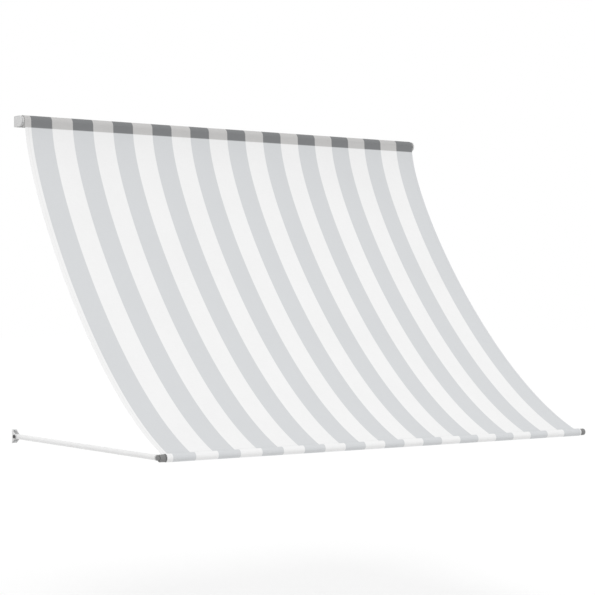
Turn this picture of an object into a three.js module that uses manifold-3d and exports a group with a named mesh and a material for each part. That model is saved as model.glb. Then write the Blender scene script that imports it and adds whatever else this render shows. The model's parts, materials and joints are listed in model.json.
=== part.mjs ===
// A striped drop-arm awning: a roller on two wall brackets, cloth let down to a front bar, and two
// arms that swing up from two lower brackets. The inner tubes slide out as the arms rise, so the
// front bar meets the roller. The model stands with the awning let down and the arms level.
// Millimetres. +X is to the right seen from the street, -Y is away from the wall, +Z is up.
import * as THREE from "three";
import { mergeVertices } from "three/addons/utils/BufferGeometryUtils.js";
import Module from "manifold-3d";

const wasm = await Module();
wasm.setup();

// Overall
const CLOTH_WIDTH = 2500;
const ROLLER_FROM_WALL = 55;
const PIVOT_BELOW_ROLLER = 1590;
const PIVOT_FROM_WALL = 31;
const ARM_LENGTH = 1431;
const GAP = 0.3; // between pieces that touch
const RUN = 0.3; // radial room round a turning pin

// Roller
const ROLL_RADIUS = 30;
const ROLLER_TUBE_RADIUS = 20;
const ROLLER_TUBE_WALL = 1.5;
const CLOTH_STEP = 0.9; // how far the outer end of the wound cloth stands proud
const PLUG_DEPTH = 40;
const SHAFT_RADIUS = 5;
const COLLAR_RADIUS = 24;
const COLLAR_LENGTH = 8.9;

// Hanging cloth
const CLOTH_THICKNESS = 1.2;
const WRAP_DEG = 35; // how far the cloth stays on the roll above its front line
const TOP_HANDLE = 309; // strength of the curve at the roller
const BAR_HANDLE = 715; // strength of the curve at the front bar
const CLOTH_STEPS = 40;

// Head brackets
const SHEET = 3;
const CHEEK_INSIDE = 12; // from the end of the roll to the cheek
const CHEEK_NOSE = 27.5;
const FLANGE_WIDTH = 60;
const FLANGE_CORNER = 5;
const SCREW_HOLE = 2.7;
const HEAD_SCREW_SPACING = 34;
const BUSH_RADIUS = 8;
const BUSH_FLANGE_RADIUS = 12;
const BUSH_FLANGE = 2.3;
const COVER_THICKNESS = 4;
const COVER_EDGE = 0.9;

// Pull cord and its pulley and tensioner
const CORD_RADIUS = 2;
const CORD_OFFSET = 3.5; // centre of the cord from the end of the roll
const PULLEY_PITCH = 15;
const PULLEY_RIM = 16.5;
const PULLEY_CHEEK = 0.9;
const PULLEY_HUB = 9;
const TENSIONER_BELOW_PIVOT = 38;
const TENSIONER_FROM_WALL = 72;
const TENSIONER_PITCH = 11;
const TENSIONER_SHEET = 5;
const TENSIONER_HEIGHT = 52;
const TENSIONER_FLANGE_WIDTH = 18;
const CORD_SIDES = 8;

// Arms
const ARM_OFFSET = 18.5; // centre of the arm from the end of the roll
const OUTER_RADIUS = 12.5;
const OUTER_WALL = 1.2;
const INNER_RADIUS = 10;
const INNER_WALL = 1.5;
const OVERLAP = 460; // length of inner tube inside the outer one
const TUBE_START = 22; // from the pivot to the outer tube
const EYE_RADIUS = 12.5;
const EYE_WIDTH = 18;
const EYE_PLUG_DEPTH = 38;
const BUSH_LENGTH = 40;
const BUSH_LIP = 6;
const BUSH_LIP_RADIUS = 13.8;
const SHOWN_INNER = 3; // inner tube seen with the arm pushed in

// Elbow heads
const HEAD_RADIUS = 17;
const HEAD_WIDTH = 26;
const SLEEVE_RADIUS = 12.8;
const SLEEVE_EDGE = 1.5;
const SLEEVE_END = 33; // from the bar's axis
const SLEEVE_BOTTOM = 10;
const PIN_RADIUS = 5;
const OPEN_PIVOT_ROOM = 0.8; // the right pin, where the linkage closes

// Foot brackets
const FOOT_HEIGHT = 68;
const EAR_GAP = 20;
const EAR_NOSE = 13;
const FOOT_SCREW_SPACING = 50;
const BOLT_HEAD_RADIUS = 8;
const BOLT_HEAD = 1.6;
const KNOB_RADIUS = 10.5;
const KNOB_LENGTH = 8;
const KNOB_LOBES = 8;
const KNOB_LOBE_DEPTH = 0.8;
const KNOB_EDGE = 1.5;

// Front bar
const BAR_RADIUS = 17;
const BAR_WALL = 1.5;
const POCKET_THICKNESS = 1.5;
const SEAM_FROM_BAR = 32; // where the two sides of the pocket meet, from the bar's axis
const HEM_LENGTH = 45; // from the bar's axis to the edge of the hem
const HEM_THICKNESS = 2.4;
const HEM_RISE_DEG = 23.4; // slope of the hem towards the roller
const BAR_PLUG_DEPTH = 45;
const BAR_FLANGE = 4;
const BAR_FLANGE_RADIUS = 18;
const BAR_SPACER_RADIUS = 9;
const CAP_RADIUS = 9;
const CAP_LENGTH = 7;

const ROUND = 40; // sides of the large rounds
const SMALL_ROUND = 22;

// Worked out
const HALF = CLOTH_WIDTH / 2;
const ARM_X = HALF + ARM_OFFSET;
const CHEEK_X = HALF + CHEEK_INSIDE;
const CORD_X = HALF + CORD_OFFSET;
const FLANGE_MIDDLE = CHEEK_X + SHEET - FLANGE_WIDTH / 2;
const POCKET_RADIUS = BAR_RADIUS + GAP + POCKET_THICKNESS;

const rad = THREE.MathUtils.degToRad;

// Finishes
const finish = (color, roughness, metalness = 0) =>
  new THREE.MeshStandardMaterial({ color, roughness, metalness });
const whiteSteel = finish(0xf0f0ee, 0.4, 0.3);
const greySteel = finish(0xcfcfcd, 0.45, 0.4);
const zinc = finish(0xb9bbbd, 0.35, 0.9);
const aluminium = finish(0xc9cbcc, 0.4, 0.8);
const blackPlastic = finish(0x2a2a2b, 0.5);
const greyPlastic = finish(0xd2d2d0, 0.5);
const darkCloth = finish(0x83858a, 0.9);
const paleCloth = finish(0xe2e2e3, 0.9);
const cord = finish(0xd8d8d6, 0.8);

// Solids for cutting and joining
function solid(geometry) {
  const bare = (geometry.index ? geometry.toNonIndexed() : geometry.clone()).deleteAttribute("normal");
  const merged = mergeVertices(bare.deleteAttribute("uv"), 1e-4);
  return new wasm.Manifold(
    new wasm.Mesh({
      numProp: 3,
      vertProperties: merged.attributes.position.array,
      triVerts: new Uint32Array(merged.index.array),
    }),
  );
}

function surface(body) {
  const mesh = body.getMesh();
  const geometry = new THREE.BufferGeometry();
  geometry.setAttribute("position", new THREE.BufferAttribute(mesh.vertProperties, 3));
  geometry.setIndex(new THREE.BufferAttribute(mesh.triVerts, 1));
  return geometry;
}

const join = (first, ...rest) => surface(rest.reduce((a, b) => a.add(solid(b)), solid(first)));
const cut = (first, ...rest) => surface(rest.reduce((a, b) => a.subtract(solid(b)), solid(first)));

// A profile of [along, radius] points turned round the X or the Y axis
function turned(profile, axis = "x", sides = SMALL_ROUND) {
  const closed = profile[0][1] > 0 ? [...profile, profile[0]] : profile;
  const points = closed.map(([along, radius]) => new THREE.Vector2(radius, along));
  const area = points.reduce((sum, p, i) => {
    const q = points[(i + 1) % points.length];
    return sum + p.x * q.y - q.x * p.y;
  }, 0);
  const geometry = new THREE.LatheGeometry(area < 0 ? points.reverse() : points, sides);
  return axis === "x" ? geometry.rotateZ(-Math.PI / 2) : geometry;
}

const rod = (from, to, radius, axis = "x", sides = SMALL_ROUND) =>
  turned([[from, 0], [from, radius], [to, radius], [to, 0]], axis, sides);

const tube = (from, to, outer, inner, axis = "x", sides = SMALL_ROUND) =>
  turned([[from, inner], [from, outer], [to, outer], [to, inner]], axis, sides);

// An outline in (Y, Z) drawn out along X, from one X to another
function alongX(shape, from, to, edge = 0) {
  const geometry = new THREE.ExtrudeGeometry(shape, {
    depth: to - from - 2 * edge,
    bevelEnabled: edge > 0,
    bevelThickness: edge,
    bevelSize: edge,
    bevelOffset: -edge,
    bevelSegments: 1,
    curveSegments: SMALL_ROUND / 2,
  });
  const turn = new THREE.Matrix4().makeBasis(
    new THREE.Vector3(0, 1, 0),
    new THREE.Vector3(0, 0, 1),
    new THREE.Vector3(1, 0, 0),
  );
  return geometry.applyMatrix4(turn).translate(from + edge, 0, 0);
}

// An outline in (X, Z) drawn out from the wall by a thickness
function offWall(shape, thickness) {
  const geometry = new THREE.ExtrudeGeometry(shape, { depth: thickness, bevelEnabled: false, curveSegments: 6 });
  const turn = new THREE.Matrix4().makeBasis(
    new THREE.Vector3(1, 0, 0),
    new THREE.Vector3(0, 0, 1),
    new THREE.Vector3(0, -1, 0),
  );
  return geometry.applyMatrix4(turn);
}

function hole(x, y, radius) {
  return new THREE.Path().absarc(x, y, radius, 0, 2 * Math.PI, true);
}

function roundedRectangle(x0, y0, x1, y1, r) {
  const shape = new THREE.Shape();
  shape.moveTo(x0 + r, y0).lineTo(x1 - r, y0).absarc(x1 - r, y0 + r, r, -Math.PI / 2, 0);
  shape.lineTo(x1, y1 - r).absarc(x1 - r, y1 - r, r, 0, Math.PI / 2);
  shape.lineTo(x0 + r, y1).absarc(x0 + r, y1 - r, r, Math.PI / 2, Math.PI);
  shape.lineTo(x0, y0 + r).absarc(x0 + r, y0 + r, r, Math.PI, 1.5 * Math.PI);
  return shape;
}

// A cheek with a straight side on the wall and a round nose about a pin
function cheek(reach, halfHeight, nose, wall = 0) {
  const lean = Math.asin(THREE.MathUtils.clamp((halfHeight - nose) / reach, 0, 1));
  const shape = new THREE.Shape();
  shape.moveTo(-wall, halfHeight);
  shape.absarc(-reach, 0, nose, Math.PI / 2 - lean, 1.5 * Math.PI + lean);
  shape.lineTo(-wall, -halfHeight);
  shape.closePath();
  return shape;
}

function part(name, geometry, material) {
  const mesh = new THREE.Mesh(geometry, material);
  mesh.name = name;
  return mesh;
}

// Roller: the tube, its wound cloth, two plugs with stub shafts, and the cord pulley
function woundCloth() {
  const inner = ROLLER_TUBE_RADIUS + GAP;
  const shape = new THREE.Shape();
  for (let i = 0; i <= ROUND; i++) {
    const turn = (2 * Math.PI * i) / ROUND;
    const radius = ROLL_RADIUS - CLOTH_STEP * (1 - i / ROUND);
    const place = [radius * Math.cos(Math.PI - turn), radius * Math.sin(Math.PI - turn)];
    if (i === 0) shape.moveTo(...place);
    else shape.lineTo(...place);
  }
  shape.closePath();
  return cut(alongX(shape, -HALF, HALF), rod(-HALF - 1, HALF + 1, inner, "x", ROUND));
}

function rollerPlug(collar) {
  const inside = ROLLER_TUBE_RADIUS - ROLLER_TUBE_WALL - GAP;
  const tip = CHEEK_X + SHEET + 2;
  const profile = [[HALF - PLUG_DEPTH, 0], [HALF - PLUG_DEPTH, inside - 2], [HALF - PLUG_DEPTH + 2, inside]];
  if (collar) {
    const face = HALF + GAP;
    const end = face + COLLAR_LENGTH;
    profile.push([face, inside], [face, COLLAR_RADIUS], [end - 2, COLLAR_RADIUS], [end, COLLAR_RADIUS - 2]);
    profile.push([end, SHAFT_RADIUS]);
  } else {
    profile.push([HALF, inside], [HALF, SHAFT_RADIUS]);
  }
  profile.push([tip - 1, SHAFT_RADIUS], [tip, SHAFT_RADIUS - 1], [tip, 0]);
  return turned(profile, "x", ROUND);
}

function cordPulley() {
  const start = HALF + GAP;
  const grooveHalf = CORD_RADIUS + GAP;
  const end = CORD_X + grooveHalf + PULLEY_CHEEK;
  const bottom = PULLEY_PITCH - CORD_RADIUS - GAP;
  const bore = SHAFT_RADIUS + GAP;
  return turned(
    [
      [start, bore], [start, PULLEY_RIM], [CORD_X - grooveHalf, PULLEY_RIM],
      [CORD_X - grooveHalf + 0.4, bottom], [CORD_X + grooveHalf - 0.4, bottom],
      [CORD_X + grooveHalf, PULLEY_RIM], [end, PULLEY_RIM], [end, PULLEY_HUB],
      [CHEEK_X - BUSH_FLANGE - 2 * GAP, PULLEY_HUB], [CHEEK_X - BUSH_FLANGE - 2 * GAP, bore],
    ],
    "x",
    ROUND,
  );
}

function roller() {
  const group = new THREE.Group();
  group.position.set(0, -ROLLER_FROM_WALL, 0);
  const inner = ROLLER_TUBE_RADIUS - ROLLER_TUBE_WALL;
  group.add(part("roller_tube", tube(-HALF, HALF, ROLLER_TUBE_RADIUS, inner, "x", ROUND), aluminium));
  group.add(part("wound_cloth", woundCloth(), darkCloth));
  const left = part("left_roller_plug", rollerPlug(true), greyPlastic);
  left.scale.x = -1;
  group.add(left);
  group.add(part("right_roller_plug", rollerPlug(false), greyPlastic));
  group.add(part("cord_pulley", cordPulley(), greyPlastic));
  return group;
}

// Head brackets, made for the right and mirrored for the left
function headBracket() {
  const side = cheek(ROLLER_FROM_WALL, CHEEK_NOSE, CHEEK_NOSE);
  side.holes.push(hole(-ROLLER_FROM_WALL, 0, BUSH_RADIUS + GAP));
  const flange = roundedRectangle(
    CHEEK_X + SHEET - FLANGE_WIDTH, -CHEEK_NOSE, CHEEK_X + SHEET, CHEEK_NOSE, FLANGE_CORNER);
  for (const way of [-1, 1])
    flange.holes.push(hole(FLANGE_MIDDLE + (way * HEAD_SCREW_SPACING) / 2, 0, SCREW_HOLE));
  const inset = 2 * SHEET;
  const brace = new THREE.Shape();
  brace.moveTo(CHEEK_X + 1, SHEET / 2).lineTo(CHEEK_X - inset, SHEET - 1).lineTo(CHEEK_X + 1, inset + SHEET);
  brace.closePath();
  const webs = [-1, 1].map((way) =>
    new THREE.ExtrudeGeometry(brace, { depth: SHEET, bevelEnabled: false })
      .rotateX(Math.PI)
      .translate(0, 0, way * (CHEEK_NOSE - 2 * SHEET) + SHEET / 2));
  return join(alongX(side, CHEEK_X, CHEEK_X + SHEET), offWall(flange, SHEET), ...webs);
}

function shaftBush() {
  const flange = CHEEK_X - GAP - BUSH_FLANGE;
  const bore = SHAFT_RADIUS + RUN;
  return turned([
    [flange, bore], [flange, BUSH_FLANGE_RADIUS], [CHEEK_X - GAP, BUSH_FLANGE_RADIUS],
    [CHEEK_X - GAP, BUSH_RADIUS], [CHEEK_X + SHEET, BUSH_RADIUS], [CHEEK_X + SHEET, bore],
  ]);
}

function bracketCover() {
  const from = CHEEK_X + SHEET + GAP;
  const plate = alongX(
    cheek(ROLLER_FROM_WALL, CHEEK_NOSE, CHEEK_NOSE, GAP), from, from + COVER_THICKNESS, COVER_EDGE);
  const pocket = rod(from - 1, from + COVER_THICKNESS / 2 + 0.5, BUSH_RADIUS).translate(0, -ROLLER_FROM_WALL, 0);
  return cut(plate, pocket);
}

// Pull cord: one endless loop round the pulley and the tensioner's peg
function pullCord() {
  const top = new THREE.Vector2(-ROLLER_FROM_WALL, 0);
  const bottom = new THREE.Vector2(-TENSIONER_FROM_WALL, -PIVOT_BELOW_ROLLER - TENSIONER_BELOW_PIVOT);
  const line = bottom.clone().sub(top);
  const down = line.clone().normalize();
  const front = new THREE.Vector2(down.y, -down.x);
  const spread = Math.asin((PULLEY_PITCH - TENSIONER_PITCH) / line.length());
  const turns = 12;
  const centres = [];
  const wrap = (middle, radius, start, sweep) => {
    for (let i = 0; i <= turns; i++) {
      const a = start + (sweep * i) / turns;
      const out = front.clone().multiplyScalar(Math.cos(a)).addScaledVector(down, -Math.sin(a));
      centres.push({ at: middle.clone().addScaledVector(out, radius), out });
    }
  };
  wrap(top, PULLEY_PITCH, -spread, Math.PI + 2 * spread);
  wrap(bottom, TENSIONER_PITCH, Math.PI + spread, Math.PI - 2 * spread);
  const position = [];
  for (const { at, out } of centres)
    for (let k = 0; k < CORD_SIDES; k++) {
      const a = (2 * Math.PI * k) / CORD_SIDES;
      const spot = at.clone().addScaledVector(out, CORD_RADIUS * Math.cos(a));
      position.push(CORD_X + CORD_RADIUS * Math.sin(a), spot.x, spot.y);
    }
  const index = [];
  const rings = centres.length;
  for (let i = 0; i < rings; i++)
    for (let k = 0; k < CORD_SIDES; k++) {
      const a = i * CORD_SIDES + k;
      const b = i * CORD_SIDES + ((k + 1) % CORD_SIDES);
      const c = ((i + 1) % rings) * CORD_SIDES + ((k + 1) % CORD_SIDES);
      const d = ((i + 1) % rings) * CORD_SIDES + k;
      index.push(a, b, c, a, c, d);
    }
  const geometry = new THREE.BufferGeometry();
  geometry.setAttribute("position", new THREE.Float32BufferAttribute(position, 3));
  geometry.setIndex(index);
  return geometry;
}

function cordTensioner() {
  const z = -PIVOT_BELOW_ROLLER - TENSIONER_BELOW_PIVOT;
  const groove = TENSIONER_PITCH - CORD_RADIUS - GAP;
  const near = CORD_X - CORD_RADIUS - GAP;
  const far = CORD_X + CORD_RADIUS + GAP;
  const rim = TENSIONER_PITCH + 1;
  const blade = alongX(
    cheek(TENSIONER_FROM_WALL, TENSIONER_HEIGHT / 2, rim), near - TENSIONER_SHEET, near);
  const peg = turned([[near - 1, 0], [near - 1, groove], [far, groove], [far, rim], [far + PULLEY_CHEEK, rim],
    [far + PULLEY_CHEEK, 0]]).translate(0, -TENSIONER_FROM_WALL, 0);
  const plate = roundedRectangle(
    near - TENSIONER_FLANGE_WIDTH, -TENSIONER_HEIGHT / 2, near, TENSIONER_HEIGHT / 2, 3);
  for (const way of [-1, 1])
    plate.holes.push(hole(near - TENSIONER_SHEET - 6.5, (way * TENSIONER_HEIGHT) / 3, SCREW_HOLE));
  return join(blade, peg, offWall(plate, SHEET)).translate(0, 0, z);
}

// Foot brackets, made about the pivot
function footBracket() {
  const ear = cheek(PIVOT_FROM_WALL, FOOT_HEIGHT / 2, EAR_NOSE);
  ear.holes.push(hole(-PIVOT_FROM_WALL, 0, PIN_RADIUS + GAP));
  const outside = EAR_GAP / 2 + SHEET;
  const plate = roundedRectangle(-outside, -FOOT_HEIGHT / 2, outside, FOOT_HEIGHT / 2, 2);
  for (const way of [-1, 1]) plate.holes.push(hole(0, (way * FOOT_SCREW_SPACING) / 2, SCREW_HOLE));
  return join(
    offWall(plate, SHEET),
    alongX(ear, -outside, -EAR_GAP / 2),
    alongX(ear, EAR_GAP / 2, outside),
  );
}

function pivotBolt() {
  const ear = EAR_GAP / 2 + SHEET;
  const end = ear + KNOB_LENGTH - 3;
  return turned([
    [-ear - GAP - BOLT_HEAD, 0], [-ear - GAP - BOLT_HEAD, BOLT_HEAD_RADIUS - 1],
    [-ear - GAP - BOLT_HEAD / 2, BOLT_HEAD_RADIUS], [-ear - GAP, BOLT_HEAD_RADIUS],
    [-ear - GAP, PIN_RADIUS], [end, PIN_RADIUS], [end, 0],
  ]);
}

function lobedKnob() {
  const shape = new THREE.Shape();
  const steps = KNOB_LOBES * 6;
  for (let i = 0; i < steps; i++) {
    const a = (2 * Math.PI * i) / steps;
    const radius = KNOB_RADIUS - KNOB_LOBE_DEPTH * (0.5 - 0.5 * Math.cos(KNOB_LOBES * a));
    if (i === 0) shape.moveTo(radius, 0);
    else shape.lineTo(radius * Math.cos(a), radius * Math.sin(a));
  }
  shape.closePath();
  const from = EAR_GAP / 2 + SHEET + GAP;
  const depth = KNOB_LENGTH - 3;
  return cut(alongX(shape, from, from + KNOB_LENGTH, KNOB_EDGE), rod(from - 1, from + depth, PIN_RADIUS + GAP));
}

// Arms, made about the pivot and running forward along -Y
function armEye() {
  const disc = new THREE.Shape();
  disc.moveTo(0, EYE_RADIUS).absarc(0, 0, EYE_RADIUS, Math.PI / 2, -Math.PI / 2, true);
  disc.lineTo(-TUBE_START + GAP, -EYE_RADIUS * 0.8).lineTo(-TUBE_START + GAP, EYE_RADIUS * 0.8);
  disc.closePath();
  const plugRadius = OUTER_RADIUS - OUTER_WALL - GAP;
  const shank = rod(-TUBE_START - EYE_PLUG_DEPTH, -TUBE_START + 4, plugRadius, "y");
  const bore = rod(-EYE_WIDTH, EYE_WIDTH, PIN_RADIUS + RUN);
  return surface(solid(alongX(disc, -EYE_WIDTH / 2, EYE_WIDTH / 2)).add(solid(shank)).subtract(solid(bore)));
}

const OUTER_END = ARM_LENGTH - SLEEVE_END - SHOWN_INNER - BUSH_LIP - GAP;

function guideBush() {
  const inner = INNER_RADIUS + GAP;
  const outer = OUTER_RADIUS - OUTER_WALL - GAP;
  return turned([
    [-OUTER_END + BUSH_LENGTH, inner], [-OUTER_END + BUSH_LENGTH, outer], [-OUTER_END - GAP, outer],
    [-OUTER_END - GAP, BUSH_LIP_RADIUS], [-OUTER_END - GAP - BUSH_LIP + 1.5, BUSH_LIP_RADIUS],
    [-OUTER_END - GAP - BUSH_LIP, BUSH_LIP_RADIUS - 1.5], [-OUTER_END - GAP - BUSH_LIP, inner],
  ], "y");
}

// Elbow head, made about the axis of the front bar
function elbowHead(room) {
  const halfWidth = HEAD_WIDTH / 2;
  const barrel = turned([
    [-halfWidth, 0], [-halfWidth, HEAD_RADIUS - 1.5], [-halfWidth + 1.5, HEAD_RADIUS],
    [halfWidth - 1.5, HEAD_RADIUS], [halfWidth, HEAD_RADIUS - 1.5], [halfWidth, 0],
  ], "x", ROUND);
  const sleeve = turned([
    [0, 0], [0, SLEEVE_RADIUS], [SLEEVE_END - SLEEVE_EDGE, SLEEVE_RADIUS],
    [SLEEVE_END, SLEEVE_RADIUS - SLEEVE_EDGE], [SLEEVE_END, 0],
  ], "y");
  const socket = rod(SLEEVE_BOTTOM, SLEEVE_END + 5, INNER_RADIUS + GAP, "y");
  const bore = rod(-HEAD_WIDTH, HEAD_WIDTH, PIN_RADIUS + room);
  return surface(solid(barrel).add(solid(sleeve)).subtract(solid(socket)).subtract(solid(bore)));
}

function arm(name, side) {
  const group = new THREE.Group();
  group.position.set(side * ARM_X, -PIVOT_FROM_WALL, -PIVOT_BELOW_ROLLER);
  group.scale.x = side;
  group.add(part(name + "_arm_eye", armEye(), greySteel));
  const bore = OUTER_RADIUS - OUTER_WALL;
  group.add(part(name + "_outer_tube", tube(-OUTER_END, -TUBE_START, OUTER_RADIUS, bore, "y"), whiteSteel));
  group.add(part(name + "_guide_bush", guideBush(), greyPlastic));
  const back = -OUTER_END + OVERLAP;
  const front = -ARM_LENGTH + SLEEVE_BOTTOM + GAP;
  group.add(part(
    name + "_inner_tube", tube(front, back, INNER_RADIUS, INNER_RADIUS - INNER_WALL, "y"), whiteSteel));
  const head = part(name + "_elbow_head", elbowHead(side < 0 ? RUN : OPEN_PIVOT_ROOM), blackPlastic);
  head.position.y = -ARM_LENGTH;
  group.add(head);
  return group;
}

function wallPieces(name, side) {
  const group = new THREE.Group();
  group.scale.x = side;
  group.add(part(name + "_head_bracket", headBracket(), greySteel));
  const bush = part(name + "_shaft_bush", shaftBush(), blackPlastic);
  bush.position.y = -ROLLER_FROM_WALL;
  group.add(bush);
  group.add(part(name + "_bracket_cover", bracketCover(), greyPlastic));
  const foot = new THREE.Group();
  foot.position.set(ARM_X, 0, -PIVOT_BELOW_ROLLER);
  foot.add(part(name + "_foot_bracket", footBracket(), greySteel));
  const bolt = part(name + "_pivot_bolt", pivotBolt(), zinc);
  const knob = part(name + "_pivot_knob", lobedKnob(), blackPlastic);
  bolt.position.y = -PIVOT_FROM_WALL;
  knob.position.y = -PIVOT_FROM_WALL;
  foot.add(bolt, knob);
  group.add(foot);
  return group;
}

// Front bar, made about its own axis. The pocket's two sides run off the bar and meet in the hem.
function barPocket() {
  const rise = rad(HEM_RISE_DEG);
  const half = HEM_THICKNESS / 2;
  const leave = Math.atan2(half, SEAM_FROM_BAR) + Math.acos(POCKET_RADIUS / Math.hypot(half, SEAM_FROM_BAR));
  const middle = new THREE.Vector2();
  const spot = (out, up) => new THREE.Vector2(out, up).rotateAround(middle, rise);
  const upper = [spot(HEM_LENGTH, half), spot(SEAM_FROM_BAR, half)];
  const lower = [spot(SEAM_FROM_BAR, -half), spot(HEM_LENGTH, -half)];
  const shape = new THREE.Shape(upper);
  shape.absarc(0, 0, POCKET_RADIUS, rise + leave, rise + 2 * Math.PI - leave);
  for (const at of lower) shape.lineTo(at.x, at.y);
  shape.closePath();
  shape.holes.push(hole(0, 0, BAR_RADIUS + GAP));
  return alongX(shape, -HALF, HALF);
}

function barPlug() {
  const inside = BAR_RADIUS - BAR_WALL - GAP;
  const face = HALF + GAP;
  const spacer = ARM_X - HEAD_WIDTH / 2 - GAP;
  const tip = ARM_X + HEAD_WIDTH / 2 + CAP_LENGTH - 2;
  return turned([
    [HALF - BAR_PLUG_DEPTH, 0], [HALF - BAR_PLUG_DEPTH, inside - 2], [HALF - BAR_PLUG_DEPTH + 2, inside],
    [face, inside], [face, BAR_FLANGE_RADIUS], [face + BAR_FLANGE - 1, BAR_FLANGE_RADIUS],
    [face + BAR_FLANGE, BAR_FLANGE_RADIUS - 1], [face + BAR_FLANGE, BAR_SPACER_RADIUS],
    [spacer, BAR_SPACER_RADIUS], [spacer, PIN_RADIUS], [tip, PIN_RADIUS], [tip, 0],
  ], "x", ROUND);
}

function pinCap() {
  const from = ARM_X + HEAD_WIDTH / 2 + GAP;
  const end = from + CAP_LENGTH;
  const bore = PIN_RADIUS + GAP;
  const bottom = end - 1.5;
  return turned([
    [bottom, 0], [bottom, bore], [from, bore], [from, CAP_RADIUS], [end - 3, CAP_RADIUS],
    [end - 1, CAP_RADIUS - 2], [end, CAP_RADIUS - 5], [end, 0],
  ]);
}

function frontBar() {
  const group = new THREE.Group();
  group.position.set(0, -PIVOT_FROM_WALL - ARM_LENGTH, -PIVOT_BELOW_ROLLER);
  group.add(part("front_bar_tube", tube(-HALF, HALF, BAR_RADIUS, BAR_RADIUS - BAR_WALL, "x", ROUND), aluminium));
  group.add(part("cloth_pocket", barPocket(), paleCloth));
  for (const [name, side] of [["left", -1], ["right", 1]]) {
    const plug = part(name + "_bar_plug", barPlug(), blackPlastic);
    const cap = part(name + "_pin_cap", pinCap(), blackPlastic);
    plug.scale.x = side;
    cap.scale.x = side;
    group.add(plug, cap);
  }
  return group;
}

// Hanging cloth: down the front of the roll, then out in one long curve to the hem
function hangingCloth() {
  const rise = rad(HEM_RISE_DEG);
  const along = new THREE.Vector2(Math.cos(rise), Math.sin(rise));
  const up = new THREE.Vector2(-Math.sin(rise), Math.cos(rise));
  const roll = ROLL_RADIUS + GAP;
  const bar = new THREE.Vector2(-PIVOT_FROM_WALL - ARM_LENGTH, -PIVOT_BELOW_ROLLER);
  const end = bar.clone()
    .addScaledVector(up, -CLOTH_THICKNESS / 2)
    .addScaledVector(along, HEM_LENGTH + GAP);
  const start = new THREE.Vector2(-ROLLER_FROM_WALL - roll, 0);
  const fall = new THREE.CubicBezierCurve(
    start,
    start.clone().add(new THREE.Vector2(0, -TOP_HANDLE)),
    end.clone().addScaledVector(along, BAR_HANDLE),
    end,
  );
  const inner = [];
  const outer = [];
  const wraps = 6;
  for (let i = 0; i < wraps; i++) {
    const a = Math.PI - rad(WRAP_DEG) * (1 - i / wraps);
    const out = new THREE.Vector2(Math.cos(a), Math.sin(a));
    const middle = new THREE.Vector2(-ROLLER_FROM_WALL, 0);
    inner.push(middle.clone().addScaledVector(out, roll));
    outer.push(middle.clone().addScaledVector(out, roll + CLOTH_THICKNESS));
  }
  for (let i = 0; i <= CLOTH_STEPS; i++) {
    const t = i / CLOTH_STEPS;
    const at = fall.getPoint(t);
    const way = fall.getTangent(t);
    inner.push(at);
    outer.push(at.clone().add(new THREE.Vector2(way.y, -way.x).multiplyScalar(CLOTH_THICKNESS)));
  }
  const shape = new THREE.Shape([...inner, ...outer.reverse()]);
  return alongX(shape, -HALF, HALF);
}

// The whole awning, moved so that the middle of the left head bracket's wall flange is the origin
const awning = new THREE.Group();
awning.position.x = FLANGE_MIDDLE;
awning.add(roller());
awning.add(part("hanging_cloth", hangingCloth(), paleCloth));
awning.add(part("pull_cord", pullCord(), cord));
awning.add(part("cord_tensioner", cordTensioner(), greyPlastic));
for (const [name, side] of [["left", -1], ["right", 1]]) {
  awning.add(wallPieces(name, side));
  awning.add(arm(name, side));
}
awning.add(frontBar());

export default awning;
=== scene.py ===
"""A striped drop-arm awning, let down: roller on two head brackets, cloth, front bar and two arms."""
import json
import math

import bmesh
import bpy
from bmesh.types import BMEdge, BMVert
from mathutils import Matrix, Vector


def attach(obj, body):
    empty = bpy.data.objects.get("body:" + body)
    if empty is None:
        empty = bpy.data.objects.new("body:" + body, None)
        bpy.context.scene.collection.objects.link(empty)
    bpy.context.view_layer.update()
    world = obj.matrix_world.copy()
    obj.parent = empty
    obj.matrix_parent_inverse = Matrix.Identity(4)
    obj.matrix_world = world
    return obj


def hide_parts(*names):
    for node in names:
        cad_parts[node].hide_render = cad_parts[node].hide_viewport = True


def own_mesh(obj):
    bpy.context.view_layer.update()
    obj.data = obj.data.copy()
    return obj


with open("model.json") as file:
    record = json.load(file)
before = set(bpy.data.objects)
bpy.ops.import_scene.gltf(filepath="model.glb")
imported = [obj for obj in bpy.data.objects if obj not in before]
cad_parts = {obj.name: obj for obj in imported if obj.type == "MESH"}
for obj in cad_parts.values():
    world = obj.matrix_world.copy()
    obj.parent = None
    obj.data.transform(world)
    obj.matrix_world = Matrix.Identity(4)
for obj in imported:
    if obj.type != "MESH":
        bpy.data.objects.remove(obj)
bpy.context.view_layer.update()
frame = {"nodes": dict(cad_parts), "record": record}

# Sizes in millimetres, as in the part's source. X counts from the middle of the awning.
MIDDLE = 1235
HALF = 1250
ROLL = (0, -55, 0)
PIVOT = (1268.5, -31, -1590)
BAR = (0, -1462, -1590)
TENSIONER = (0, -72, -1628)
CORD_X = 1253.5

# Brackets: thickness of a plate, inner and outer face of a cheek and an ear, and half heights
PLATE = 3
CHEEK = (1262, 1265)
HEAD_HALF = 27.5
FLANGE_EDGE = 1205
EAR = (10, 13)
FOOT_HALF = 34
HOLDER_HALF = 26

# Wall screws: X in a head bracket and in the cord holder, and heights from a bracket's middle
HEAD_SCREWS = (1218, 1252)
HOLDER_SCREW_X = 1239.2
HOLDER_SCREWS = (17.3, -17.3)
FOOT_SCREWS = (25, -25)

# Cord: its radius, and the radius of its line on the pulley and on the tensioner's peg
CORD_RADIUS = 2
CORD_ON_PULLEY = 15
CORD_ON_PEG = 11

# Pins: radius, room round them, and the wider room where the linkage is open
PIN = 5
PIN_ROOM = 0.3
OPEN_PIN_ROOM = 0.8

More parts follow.
